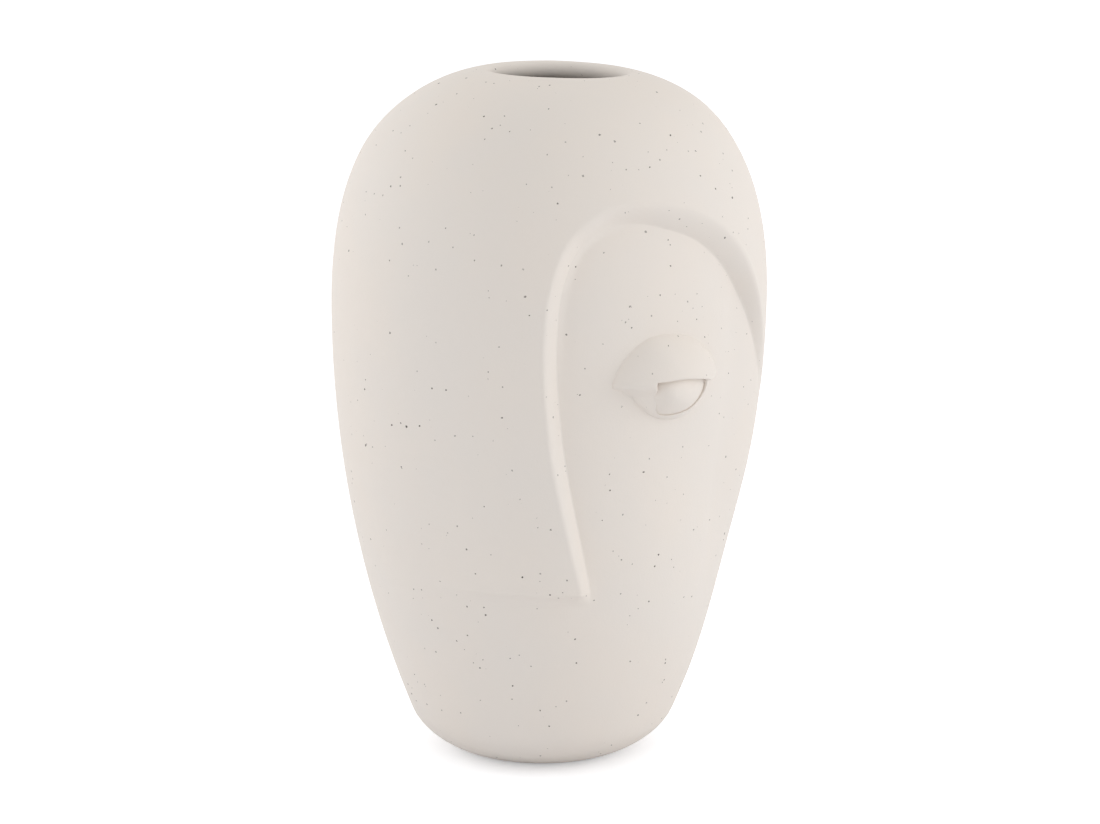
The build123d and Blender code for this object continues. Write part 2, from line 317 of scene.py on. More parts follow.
def high_profile(relief, side_top):
    """Profile over the side: crown and lip outside, then wall and floor inside.

    The lip is half a circle from the crown's end to the inside of the wall. The inside is the outside
    moved in by the wall's thickness along its normal, which grows to the lip's thickness at the top."""
    shares = np.linspace(0, 1, 400)
    shoulder = bezier(SHOULDER_CURVE, shares)
    crown = shoulder[shoulder[:, 1] > side_top + 0.6]
    crown = crown[np.linspace(0, len(crown) - 1, 22).astype(int)]
    out = np.abs((crown[-1] - crown[-2])[::-1])
    out /= np.hypot(*out)
    thick = relief.lip_thickness
    centre = crown[-1] - out * thick / 2
    bend = math.atan2(out[1], out[0]) + np.linspace(0, math.pi, 15)[1:]
    lip = centre + thick / 2 * np.stack((np.cos(bend), np.sin(bend)), axis=1)

    whole = np.vstack((bezier(SIDE_CURVE, shares), shoulder[1:]))
    run = np.gradient(whole, axis=0)
    run /= np.hypot(run[:, 0], run[:, 1])[:, None]
    wall = relief.wall + (thick - relief.wall) * smooth((whole[:, 1] - LIP_START) / (HEIGHT - LIP_START))
    inner = whole - np.stack((run[:, 1], -run[:, 0]), axis=1) * wall[:, None]
    inner = inner[inner[:, 1] > WALL_LOW][::-1]
    inner = inner[np.linspace(6, len(inner) - 1, 52).astype(int)]
    knee = inner[-1, 0] - FLOOR_TURN
    turned = (inner[-1], (knee, FLOOR), (knee - 4.0, FLOOR), (FLOOR_FLAT, FLOOR))
    turn_in = bezier(turned, np.linspace(0, 1, 10))[1:]
    floor = np.stack((np.linspace(FLOOR_FLAT - 4.0, AXIS, 5), np.full(5, FLOOR)), axis=1)
    return np.vstack((crown, lip, inner, turn_in, floor)), len(crown) + len(lip)


def body_sheet(relief):
    """All rows of the vase's skin: foot recess, foot, side with the face, crown, lip, inside and floor.

    Each row is a ring around the axis at a radius and a height. The face's relief is added to the
    radius of the side, and its softer inner form to the inside of the wall."""
    azimuth, height = face_grid(relief)
    outside = side_radius(height) + face_relief(front_azimuth(azimuth), height, relief)
    side = leaned(outside, azimuth, height)

    low = low_profile()
    low_rings = leaned(low[:, :1] + 0 * azimuth[0], azimuth[0] + 0 * low[:, :1], low[:, 1:] + 0 * azimuth[0])

    high, hollow = high_profile(relief, height[-1, 0])
    level = high[:, 1:] + 0 * azimuth[-1]
    around = azimuth[-1] + 0 * high[:, :1]
    sunk = np.zeros_like(level)
    sunk[hollow:] = inner_relief(front_azimuth(around[hollow:]), level[hollow:], relief)
    high_rings = leaned(high[:, :1] + sunk, around, level)
    return np.concatenate((low_rings, side, high_rings))


def closed_mesh(name, rings):
    """Mesh of rings of places, joined round and along, with a fan to a middle point at each end."""
    rows, columns = rings.shape[:2]
    ends = np.stack((rings[0].mean(axis=0), rings[-1].mean(axis=0)))
    places = np.concatenate((rings.reshape(-1, 3), ends))
    index = np.arange(rows * columns).reshape(rows, columns)
    after = np.roll(index, -1, axis=1)
    quads = np.stack((index[:-1], after[:-1], after[1:], index[1:]), axis=-1).reshape(-1, 4)
    first = np.stack((after[0], index[0], np.full(columns, rows * columns)), axis=-1)
    last = np.stack((index[-1], after[-1], np.full(columns, rows * columns + 1)), axis=-1)
    corners = np.concatenate((quads.ravel(), first.ravel(), last.ravel()))
    sizes = np.concatenate((np.full(len(quads), 4), np.full(2 * columns, 3)))
    mesh = bpy.data.meshes.new(name)
    mesh.vertices.add(len(places))
    mesh.vertices.foreach_set("co", places.ravel())
    mesh.loops.add(len(corners))
    mesh.loops.foreach_set("vertex_index", corners)
    mesh.polygons.add(len(sizes))
    mesh.polygons.foreach_set("loop_start", np.concatenate(((0,), np.cumsum(sizes)[:-1])))
    mesh.polygons.foreach_set("use_smooth", np.ones(len(sizes), bool))
    mesh.update(calc_edges=True)
    mesh.validate()
    piece = bpy.data.objects.new(name, mesh)
    bpy.context.scene.collection.objects.link(piece)
    return piece


# Eye, spread flat, in millimetres: x to the right, y up, and heights out of the socket's ground
EYE_AZIMUTH = 36.4
EYE_HEIGHT = 150.5
UPPER_LID = (
    (-24.6, -2.9), (-23.8, 1.6), (-21.4, 5.9), (-18.4, 9.2), (-15.2, 11.8), (-11.0, 14.0),
    (-5.8, 14.9), (1.4, 14.6), (9.1, 12.9), (14.9, 10.2), (20.6, 6.0), (24.4, 1.4),
    (25.4, -2.0), (22.0, -5.6), (10.0, -8.0), (-6.0, -8.5), (-18.0, -7.0),
)
LOWER_LID = (
    (-17.8, -3.6), (-16.6, -6.6), (-14.6, -8.9), (-11.9, -11.2), (-8.6, -13.3), (-3.5, -15.2),
    (2.0, -15.9), (8.5, -15.2), (14.5, -12.4), (19.0, -8.0), (21.6, -2.5), (20.0, 3.0),
    (10.0, 7.0), (-5.0, 7.0), (-15.0, 3.0),
)
WINDOW = (
    (-10.7, -1.3), (-10.3, -0.4), (-7.8, -0.2), (-4.0, 0.0), (0.1, 0.1), (6.9, -0.7),
    (11.5, -1.6), (15.0, -2.6), (16.3, -4.4), (15.4, -7.2), (12.5, -9.8), (8.1, -12.3),
    (2.1, -13.5), (-2.5, -13.6), (-6.0, -12.9), (-7.9, -10.8), (-9.1, -6.0), (-10.4, -2.6),
)
LID_OUTLINE = (
    (-24.8, -3.2), (-24.0, 1.6), (-21.6, 6.0), (-18.6, 9.4), (-15.3, 12.0), (-11.1, 14.2),
    (-5.8, 15.1), (1.4, 14.8), (9.2, 13.1), (15.1, 10.4), (20.8, 6.1), (24.6, 1.4),
    (25.6, -2.2), (24.0, -4.6), (20.6, -7.8), (15.0, -12.4), (8.8, -15.4), (2.0, -16.1),
    (-3.6, -15.4), (-8.8, -13.5), (-12.1, -11.4), (-14.9, -9.1), (-17.2, -7.0), (-20.5, -6.2),
    (-23.6, -5.4),
)
# A mound's middle, its rise there, and the power that rounds it
UPPER_MOUND = ((0.0, -1.0), 8.8, 0.85)
LOWER_MOUND = ((1.0, -4.0), 5.6, 0.6)
BALL_MOUND = ((-3.2, -4.5), 6.4, 1.4)
BALL_MIDDLE, BALL_REACH = (2.2, -4.2), (15.4, 10.4)  # ellipse of the eyeball's outline
BALL_EDGE = 1.6  # height of the eyeball at that outline
MOUND_FALL = 3.0  # how steeply a mound goes below the ground past its outline
STEP_TOP, STEP_SINK = -2.2, 1.5  # y where the upper lid's step begins, and how deep it ends
STEP_SHORT, STEP_MORE = 3.0, 6.5  # length of the step at the corners, and how much more in between
STEP_LEFT, STEP_RIGHT, STEP_CHANGE = -22.0, 4.0, 8.0  # x from where it grows and shrinks, and over what run
LID_BLEND = 0.5  # how softly the two lids run together
LID_MIDDLE = (3.0, -5.0)  # the lid's rings run out from here
LID_SHARES = np.concatenate(((0.0, 0.015, 0.04), np.linspace(0.08, 0.9, 36), np.linspace(0.92, 1.0, 12)))
WINDOW_PLACES, OUTLINE_PLACES, MOUND_PLACES, BALL_PLACES = 300, 800, 400, 120
WINDOW_ROUND = (0.35, 0.1)  # fall of the window's first two rings, which round its edge
WALL_RINGS, WALL_IN = 8, 0.004  # rings up the window's wall, and how far it stands in, as a share
WALL_FOOT = 0.5  # the wall starts this far inside the eyeball
BURIED, UNDERSIDE, BALL_BASE = -0.4, -1.0, -0.8  # lid's sunk rim, its underside and the eyeball's base
STRETCH = 24  # places worked out from one point of a closed line to the next


def closed_line(points, count):
    """Smooth closed line: cubic Hermite through the points, round to the first again, evenly spaced."""
    ring = np.array(points[-3:] + points + points[:4], float)
    line = line_through(ring, STRETCH)[3 * STRETCH : -3 * STRETCH]
    run = np.concatenate(((0,), np.cumsum(np.hypot(*np.diff(line, axis=0).T))))
    at = np.linspace(0, run[-1], count, endpoint=False)
    return np.stack((np.interp(at, run, line[:, 0]), np.interp(at, run, line[:, 1])), axis=1)


def outline_share(x, y, outline, middle):
    """How far each place lies from the middle to the outline: its radius over the outline's at that angle."""
    edge = outline - np.array(middle)
    angle = np.unwrap(np.arctan2(edge[:, 1], edge[:, 0]))
    if angle[-1] < angle[0]:
        angle, edge = angle[::-1], edge[::-1]
    reach = np.hypot(edge[:, 0], edge[:, 1])
    here = np.arctan2(y - middle[1], x - middle[0])
    turned = (here - angle[0]) % (2 * math.pi) + angle[0]
    far = np.interp(turned, np.append(angle, angle[0] + 2 * math.pi), np.append(reach, reach[0]))
    return np.hypot(x - middle[0], y - middle[1]) / far


def mound(x, y, outline, form):
    """Height of a mound: rise (1 - share^2)^roundness, and a little below the ground past its outline."""
    middle, rise, roundness = form
    share = outline_share(x, y, outline, middle)
    return rise * np.clip(1 - share**2, 0, 1) ** roundness - MOUND_FALL * np.clip(share - 1, 0, 1)


def lid_height(x, y):
    """Height of the lids over the ground: the higher of two mounds, the upper one ending in a soft step.

    The step is short at both corners of the eye, and long where the lids run together left of the window.
    Where the mounds meet they run together as h = b log(e^(upper/b) + e^(lower/b)), b the blend."""
    left = smooth((x - STEP_LEFT) / STEP_CHANGE)
    right = smooth((x - STEP_RIGHT) / STEP_CHANGE)
    run = STEP_SHORT + STEP_MORE * left * (1 - right)
    step = smooth((y - STEP_TOP + run) / run)
    upper = mound(x, y, closed_line(UPPER_LID, MOUND_PLACES), UPPER_MOUND) * step - (1 - step) * STEP_SINK
    lower = mound(x, y, closed_line(LOWER_LID, MOUND_PLACES), LOWER_MOUND)
    return np.logaddexp(upper / LID_BLEND, lower / LID_BLEND) * LID_BLEND


def ball_outline(count):
    """Places on the eyeball's outline, an ellipse round its middle."""
    turn = np.linspace(0, 2 * math.pi, count, endpoint=False)
    return np.array(BALL_MIDDLE) + np.array(BALL_REACH) * np.stack((np.cos(turn), np.sin(turn)), axis=1)


def ball_height(x, y):
    """Height of the eyeball over the ground: a mound whose top lies left of the middle of its outline."""
    return mound(x, y, ball_outline(MOUND_PLACES), BALL_MOUND) + BALL_EDGE


def on_face(x, y, height, relief):
    """Places over the socket's ground: the eye's x is an arc round the vase, y goes up it, height goes out."""
    level = EYE_HEIGHT + y
    radius = side_radius(level)
    azimuth = EYE_AZIMUTH + np.degrees(np.arcsin(x / side_radius(np.array(EYE_HEIGHT))))
    ground = radius - socket_ground(azimuth, level, relief)
    return leaned(ground + height, azimuth, level)


def lid_sheet(relief):
    """Rings of the eyelid: up the window's wall, over its rounded edge, across the lid to its outline,
    into the ground, and back below the ground to the window's wall.

    A ring on the lid lies at a share of the way from the window to the outline, along the same bearing."""
    window, outline = closed_line(WINDOW, WINDOW_PLACES), closed_line(LID_OUTLINE, OUTLINE_PLACES)
    middle = np.array(LID_MIDDLE)
    bearing, edge_bearing = (np.arctan2(*(line - middle).T[::-1]) for line in (window, outline))
    order = np.argsort(edge_bearing)
    known, full = edge_bearing[order], 2 * math.pi
    outer = np.stack([np.interp(bearing, known, outline[order, axis], period=full) for axis in (0, 1)], axis=1)
    flat = window + (outer - window) * LID_SHARES[:, None, None]
    top = np.maximum(lid_height(flat[..., 0], flat[..., 1]), BURIED)
    top[0] -= WINDOW_ROUND[0]
    top[1] -= WINDOW_ROUND[1]

    wall = window + (middle - window) * WALL_IN
    base = ball_height(*wall.T) - WALL_FOOT
    up = base + (top[0] - base) * np.linspace(0, 0.97, WALL_RINGS)[:, None]
    places = np.concatenate((np.tile(wall, (WALL_RINGS, 1, 1)), flat, flat[-1:], wall[None]))
    height = np.concatenate((up, top, np.full((2, len(window)), UNDERSIDE)))
    return on_face(places[..., 0], places[..., 1], height, relief)


def ring_mesh(name, rings):
    """Mesh of rings joined round and along, and the last ring joined to the first, so that it is closed."""
    rows, columns = rings.shape[:2]
    index = np.arange(rows * columns).reshape(rows, columns)
    after, along = np.roll(index, -1, axis=1), np.roll(index, -1, axis=0)
    quads = np.stack((index, after, np.roll(after, -1, axis=0), along), axis=-1).reshape(-1, 4)
    mesh = bpy.data.meshes.new(name)
    mesh.from_pydata(rings.reshape(-1, 3), [], quads)
    mesh.polygons.foreach_set("use_smooth", np.ones(len(quads), bool))
    mesh.update()
    piece = bpy.data.objects.new(name, mesh)
    bpy.context.scene.collection.objects.link(piece)
    return piece


def ball_sheet(relief):
    """Rings of the eyeball from its top out to where it goes under the lid, and down to a flat base.

    A ring lies at a share of the way from the top to the outline."""
    top, edge = np.array(BALL_MOUND[0]), ball_outline(BALL_PLACES)
    out = np.concatenate((np.linspace(0.02, 0.9, 30), np.linspace(0.92, 1.0, 6)))
    shares = np.concatenate((out, np.linspace(1.0, 0.05, 4)))
    x, y = np.moveaxis(top + (edge - top) * shares[:, None, None], -1, 0)
    height = ball_height(x, y)
    height[len(out) :] = BALL_BASE
    return on_face(x, y, height, relief)


NODE_STEP = (190, -170)  # grid of the shader nodes in the editor
MIX_A, MIX_B, MIX_RESULT = 6, 7, 2  # colour sockets of a Mix node
SPECK_RAGGED = 0.0006  # metres by which noise moves a speck's outline
SPECK_EDGE = (("From Min", 1.08), ("From Max", 0.82))  # shares of its radius where a speck starts and is full
SPECK_FAINTEST = 0.55  # strength of the faintest specks
# Small and large specks: shares of the cell scale and of the radius in a cell, and the share of cells kept
SPECK_LAYERS = ((1.0, 1.0, 0.7), (0.62, 0.85, 0.55))
PIT_DEPTH, SPONGE_HEIGHT = -0.6, 1.6  # heights of specks and sponge marks beside the grain's 1
ROUGHNESS_RANGE = 0.06  # how far the grain moves the roughness, to either side
FELT_SHADE = 0.72  # the darker wool's share of the felt's colour


def node(tree, kind, place, **values):
    """Adds a shader node at a place in the tree's grid, with its properties and input values."""
    made = tree.nodes.new(kind)
    made.location = (place[0] * NODE_STEP[0], place[1] * NODE_STEP[1])
    for key, value in values.items():
        if hasattr(made, key):
            setattr(made, key, value)
        else:
            made.inputs[key.replace("_", " ")].default_value = value
    return made


def speckle_group():
    """Node group: mask of iron specks, small balls scattered through the clay and cut by its surface."""
    tree = bpy.data.node_groups.new("Iron specks", "ShaderNodeTree")
    face = tree.interface
    for label, kind, value in (
        ("Vector", "NodeSocketVector", None),
        ("Cell scale", "NodeSocketFloat", 220.0),
        ("Speck size", "NodeSocketFloat", 0.08),
        ("Share", "NodeSocketFloat", 0.6),
    ):
        socket = face.new_socket(name=label, in_out="INPUT", socket_type=kind)
        if value is not None:
            socket.default_value = value
    face.new_socket(name="Mask", in_out="OUTPUT", socket_type="NodeSocketFloat")
    link = tree.links.new
    given = node(tree, "NodeGroupInput", (0, 0))
    rough = node(tree, "ShaderNodeTexNoise", (1, 1), Scale=2600.0, Detail=1.0)
    link(given.outputs["Vector"], rough.inputs["Vector"])
    wobble = node(tree, "ShaderNodeVectorMath", (2, 1), operation="MULTIPLY_ADD")
    wobble.inputs[1].default_value = (SPECK_RAGGED,) * 3
    link(rough.outputs["Color"], wobble.inputs[0])
    link(given.outputs["Vector"], wobble.inputs[2])
    cells = node(tree, "ShaderNodeTexVoronoi", (3, 0), feature="F1", Randomness=1.0)
    link(wobble.outputs[0], cells.inputs["Vector"])
    link(given.outputs["Cell scale"], cells.inputs["Scale"])
    tint = node(tree, "ShaderNodeSeparateColor", (4, 1))
    link(cells.outputs["Color"], tint.inputs[0])
    size = node(tree, "ShaderNodeMath", (5, 1), operation="MULTIPLY")
    link(tint.outputs[0], size.inputs[0])
    link(given.outputs["Speck size"], size.inputs[1])
    near = node(tree, "ShaderNodeMath", (6, 0), operation="DIVIDE")
    link(cells.outputs["Distance"], near.inputs[0])
    link(size.outputs[0], near.inputs[1])
    soft = node(tree, "ShaderNodeMapRange", (7, 0), interpolation_type="SMOOTHSTEP")
    for key, value in SPECK_EDGE:
        soft.inputs[key].default_value = value
    link(near.outputs[0], soft.inputs["Value"])
    keep = node(tree, "ShaderNodeMath", (6, 2), operation="LESS_THAN")
    link(tint.outputs[1], keep.inputs[0])
    link(given.outputs["Share"], keep.inputs[1])
    strong = node(tree, "ShaderNodeMapRange", (6, 3))
    strong.inputs["To Min"].default_value = SPECK_FAINTEST
    link(tint.outputs[2], strong.inputs["Value"])
    mask = node(tree, "ShaderNodeMath", (8, 1), operation="MULTIPLY")
    link(soft.outputs["Result"], mask.inputs[0])
    link(keep.outputs[0], mask.inputs[1])
    deep = node(tree, "ShaderNodeMath", (9, 1), operation="MULTIPLY")
    link(mask.outputs[0], deep.inputs[0])
    link(strong.outputs["Result"], deep.inputs[1])
    result = node(tree, "NodeGroupOutput", (10, 0))
    link(deep.outputs[0], result.inputs["Mask"])
    return tree


def stoneware_material(finish):
    """Matte speckled stoneware: mottled warm white, iron specks of two sizes, and a fine dry grain."""
    material = bpy.data.materials.new("Speckled stoneware")
    material.use_nodes = True
    tree = material.node_tree
    tree.nodes.clear()
    link = tree.links.new
    place = node(tree, "ShaderNodeTexCoord", (0, 2))
    where = place.outputs["Object"]

    mottle = node(tree, "ShaderNodeTexNoise", (1, 0), Scale=22.0, Detail=3.0, Roughness=0.55)
    link(where, mottle.inputs["Vector"])
    tone = node(tree, "ShaderNodeMix", (2, 0), data_type="RGBA", blend_type="MIX")
    tone.inputs[MIX_A].default_value = (*finish.clay_colour, 1)
    tone.inputs[MIX_B].default_value = (*finish.warm_colour, 1)
    even = node(tree, "ShaderNodeMapRange", (1.5, 0.6), From_Min=0.35, From_Max=0.65)
    link(mottle.outputs["Fac"], even.inputs["Value"])
    link(even.outputs["Result"], tone.inputs[0])

    specks = speckle_group()
    colour = tone.outputs[MIX_RESULT]
    masks = []
    for row, (scale, size, share) in enumerate(SPECK_LAYERS):
        group = node(tree, "ShaderNodeGroup", (2, 2 + row))
        group.node_tree = specks
        group.inputs["Cell scale"].default_value = scale / finish.speck_spacing
        group.inputs["Speck size"].default_value = size * finish.speck_radius / finish.speck_spacing
        group.inputs["Share"].default_value = share
        link(where, group.inputs["Vector"])
        ink = node(tree, "ShaderNodeMix", (3 + row, 1), data_type="RGBA", blend_type="MIX")
        ink.inputs[MIX_B].default_value = (*finish.speck_colour, 1)
        link(group.outputs["Mask"], ink.inputs[0])
        link(colour, ink.inputs[MIX_A])
        colour = ink.outputs[MIX_RESULT]
        masks.append(group.outputs["Mask"])

    grain = node(tree, "ShaderNodeTexNoise", (2, 5), Scale=1500.0, Detail=3.0, Roughness=0.6)
    link(where, grain.inputs["Vector"])
    sponge = node(tree, "ShaderNodeTexNoise", (2, 6), Scale=160.0, Detail=2.0, Roughness=0.5)
    link(where, sponge.inputs["Vector"])
    pits = node(tree, "ShaderNodeMath", (3, 4), operation="ADD")
    link(masks[0], pits.inputs[0])
    link(masks[1], pits.inputs[1])
    low = node(tree, "ShaderNodeMath", (4, 4), operation="MULTIPLY_ADD")
    low.inputs[1].default_value = PIT_DEPTH
    link(pits.outputs[0], low.inputs[0])
    link(grain.outputs["Fac"], low.inputs[2])
    tops = node(tree, "ShaderNodeMath", (5, 4), operation="MULTIPLY_ADD")
    tops.inputs[1].default_value = SPONGE_HEIGHT
    link(sponge.outputs["Fac"], tops.inputs[0])
    link(low.outputs[0], tops.inputs[2])
    bump = node(tree, "ShaderNodeBump", (6, 4), Strength=0.35, Distance=0.00012)
    link(tops.outputs[0], bump.inputs["Height"])

    rough = node(tree, "ShaderNodeMapRange", (5, 2))
    rough.inputs["To Min"].default_value = finish.roughness - ROUGHNESS_RANGE
    rough.inputs["To Max"].default_value = finish.roughness + ROUGHNESS_RANGE
    link(grain.outputs["Fac"], rough.inputs["Value"])
    shader = node(tree, "ShaderNodeBsdfPrincipled", (7, 1))
    shader.inputs["Specular IOR Level"].default_value = 0.3
    link(colour, shader.inputs["Base Color"])
    link(rough.outputs["Result"], shader.inputs["Roughness"])
    link(bump.outputs["Normal"], shader.inputs["Normal"])
    surface = node(tree, "ShaderNodeOutputMaterial", (9, 1))
    link(shader.outputs[0], surface.inputs["Surface"])
    return material


def felt_material(finish):
    """Pressed felt: two shades of wool in fine crossing noise, with a soft fibre bump and sheen."""
    material = bpy.data.materials.new("Pressed felt")
    material.use_nodes = True
    tree = material.node_tree
    tree.nodes.clear()
    link = tree.links.new
    place = node(tree, "ShaderNodeTexCoord", (0, 0))
    fibre = node(tree, "ShaderNodeTexNoise", (1, 0), Scale=900.0, Detail=6.0, Roughness=0.7, Distortion=1.5)
    link(place.outputs["Object"], fibre.inputs["Vector"])
    tone = node(tree, "ShaderNodeMix", (2, 0), data_type="RGBA", blend_type="MIX")
    tone.inputs[MIX_A].default_value = (*finish.felt_colour, 1)
    tone.inputs[MIX_B].default_value = (*(FELT_SHADE * part for part in finish.felt_colour), 1)
    link(fibre.outputs["Fac"], tone.inputs[0])
    bump = node(tree, "ShaderNodeBump", (2, 1), Strength=0.6, Distance=0.0003)
    link(fibre.outputs["Fac"], bump.inputs["Height"])
    shader = node(tree, "ShaderNodeBsdfPrincipled", (3, 0), Roughness=0.95)
    shader.inputs["Sheen Weight"].default_value = 0.3
    link(tone.outputs[MIX_RESULT], shader.inputs["Base Color"])
    link(bump.outputs["Normal"], shader.inputs["Normal"])
    surface = node(tree, "ShaderNodeOutputMaterial", (4, 0))
    link(shader.outputs[0], surface.inputs["Surface"])
    return material


class FaceVaseRelief(bpy.types.PropertyGroup):
    """Sizes of the face and the wall, in millimetres."""

    socket_depth: bpy.props.FloatProperty(
        name="Socket depth", description="Depth of the socket's ground below the turned form", default=7.3, min=0.0
    )
    chin: bpy.props.FloatProperty(name="Chin", description="Height at which the socket has faded out", default=48.0)
    cheek: bpy.props.FloatProperty(name="Cheek", description="Height from which the socket is full", default=140.0)
    temple_start: bpy.props.FloatProperty(
        name="Temple start", description="Azimuth where the socket starts to fade, in degrees", default=62.0
    )
    temple_end: bpy.props.FloatProperty(
        name="Temple end", description="Azimuth where the socket has faded out, in degrees", default=91.0
    )
    cheek_turn: bpy.props.FloatProperty(
        name="Cheek turn", description="How much further round the cheek is hollow, in degrees", default=14.0
    )
    chin_fall: bpy.props.FloatProperty(name="Chin fall", description="Drop of the chin at the side", default=24.0)
    cheek_fall: bpy.props.FloatProperty(name="Cheek fall", description="Drop of the cheek at the side", default=40.0)
    bank_softness: bpy.props.FloatProperty(
        name="Bank softness", description="Power that rounds the bank's outer edge", default=1.4, min=1.0
    )
    crease_run: bpy.props.FloatProperty(
        name="Crease run", description="How far a soft crease runs on into the socket", default=3.6, min=0.0
    )
    nose_height: bpy.props.FloatProperty(
        name="Nose height", description="How far the nose's tip stands proud of the turned form", default=3.4
    )
    nose_bottom: bpy.props.FloatProperty(name="Nose bottom", description="Height of the nose's tip", default=74.4)
    nose_bottom_run: bpy.props.FloatProperty(
        name="Nose bottom run", description="Height of the slope under the nose", default=5.4, min=0.5
    )
    wall: bpy.props.FloatProperty(name="Wall", description="Thickness of the clay wall", default=6.0, min=2.0)
    lip_thickness: bpy.props.FloatProperty(
        name="Lip", description="Thickness of the rounded lip at the mouth", default=6.8, min=1.0
    )


class FaceVaseFinish(bpy.types.PropertyGroup):
    """Colours and surface of the clay and the felt."""

    clay_colour: bpy.props.FloatVectorProperty(
        name="Clay", description="Main colour of the fired clay", subtype="COLOR", default=(0.80, 0.746, 0.692)
    )
    warm_colour: bpy.props.FloatVectorProperty(
        name="Warm clay", description="Colour of its slightly warmer patches", subtype="COLOR",
        default=(0.815, 0.75, 0.686),
    )
    speck_colour: bpy.props.FloatVectorProperty(
        name="Specks", description="Colour of the iron specks", subtype="COLOR", default=(0.06, 0.05, 0.04)
    )
    speck_spacing: bpy.props.FloatProperty(
        name="Speck spacing", description="Distance between specks inside the clay", default=0.0032, unit="LENGTH"
    )
    speck_radius: bpy.props.FloatProperty(
        name="Speck radius", description="Radius of the largest small specks", default=0.00037, unit="LENGTH"
    )
    roughness: bpy.props.FloatProperty(
        name="Roughness", description="Roughness of the dry matte surface", default=0.78, subtype="FACTOR"
    )
    felt_colour: bpy.props.FloatVectorProperty(
        name="Felt", description="Colour of the felt under the foot", subtype="COLOR", default=(0.36, 0.31, 0.25)
    )


class FaceVaseStage(bpy.types.PropertyGroup):
    """Camera, lights and floor."""

    camera_distance: bpy.props.FloatProperty(
        name="Camera distance", description="From the vase's middle to the camera", default=1.2, unit="LENGTH"
    )
    camera_elevation: bpy.props.FloatProperty(
        name="Camera elevation", description="Angle of the camera above the vase's middle",
        default=math.radians(12.43), subtype="ANGLE",
    )
    lens: bpy.props.FloatProperty(
        name="Lens", description="Focal length on a 36 mm wide sensor", default=107.5, unit="CAMERA"
    )
    right_light: bpy.props.FloatProperty(
        name="Right light", description="Power of the soft light on the right", default=4.0, unit="POWER"
    )
    left_light: bpy.props.FloatProperty(
        name="Left light", description="Power of the soft light on the left", default=4.7, unit="POWER"
    )
    sky: bpy.props.FloatProperty(name="Sky", description="Strength of the even light around", default=0.907)
    overhead: bpy.props.FloatProperty(
        name="Overhead", description="Share of the even light that comes from straight above", default=0.84,
        subtype="FACTOR",
    )
    floor_colour: bpy.props.FloatVectorProperty(
        name="Floor", description="Colour of the floor", subtype="COLOR", default=(0.92, 0.93, 0.955)
    )


def settle(piece, solid):
    """Gives a clay piece the stoneware, made once, lets it stand for its solid, and rides it on the vase."""
    stoneware = bpy.data.materials.get("Speckled stoneware")
    piece.data.materials.append(stoneware or stoneware_material(bpy.context.scene.face_vase_finish))
    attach(piece, "root")
    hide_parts(solid)


class FACEVASE_OT_body(bpy.types.Operator):
    """Makes the vase's skin: foot, side with the face in relief, dome, lip and inside"""

    bl_idname = "facevase.body"
    bl_label = "Body"

    def execute(self, context):
        settle(closed_mesh("body_skin", body_sheet(context.scene.face_vase_relief)), "vase_body")
        return {"FINISHED"}


class FACEVASE_OT_eye(bpy.types.Operator):
    """Makes the eye: the lid with its window, and the eyeball behind it"""

    bl_idname = "facevase.eye"
    bl_label = "Eye"

    def execute(self, context):
        relief = context.scene.face_vase_relief
        settle(ring_mesh("eyelid_clay", lid_sheet(relief)), "eyelid")
        settle(closed_mesh("eyeball_clay", ball_sheet(relief)[::-1]), "eyeball")
        return {"FINISHED"}


class FACEVASE_OT_felt(bpy.types.Operator):
    """Gives the felt pad under the foot its material"""

    bl_idname = "facevase.felt"
    bl_label = "Felt"

    def execute(self, context):
        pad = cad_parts["foot_felt"]
        pad.data.materials.clear()
        pad.data.materials.append(felt_material(context.scene.face_vase_finish))
        return {"FINISHED"}


MIDDLE = (0.0, 0.0, HEIGHT * MM / 2)  # the lights and the camera look here
RIGHT_PLACE, RIGHT_SIZE = (1.25, -0.06, 0.35), (0.5, 1.0)
LEFT_PLACE, LEFT_SIZE = (-1.16, 0.47, 0.3), (0.9, 1.2)
FLOOR_REACH = 3.0
FLOOR_GLOW = 0.36  # for the camera only, so that the floor shows as white
SENSOR_WIDTH = 36.0
SIDE_SHIFT = 0.0076  # the vase stands a little left of the frame's middle
WHITE = (1, 1, 1, 1)


def add_light(name, place, size, power):
    """An area light at a place, turned to face the vase's middle."""
    data = bpy.data.lights.new(name, "AREA")
    data.shape = "RECTANGLE"
    data.size, data.size_y = size
    data.energy = power
    light = bpy.data.objects.new(name, data)
    light.location = place
    light.rotation_euler = (Vector(MIDDLE) - Vector(place)).to_track_quat("-Z", "Y").to_euler()
    bpy.context.scene.collection.objects.link(light)


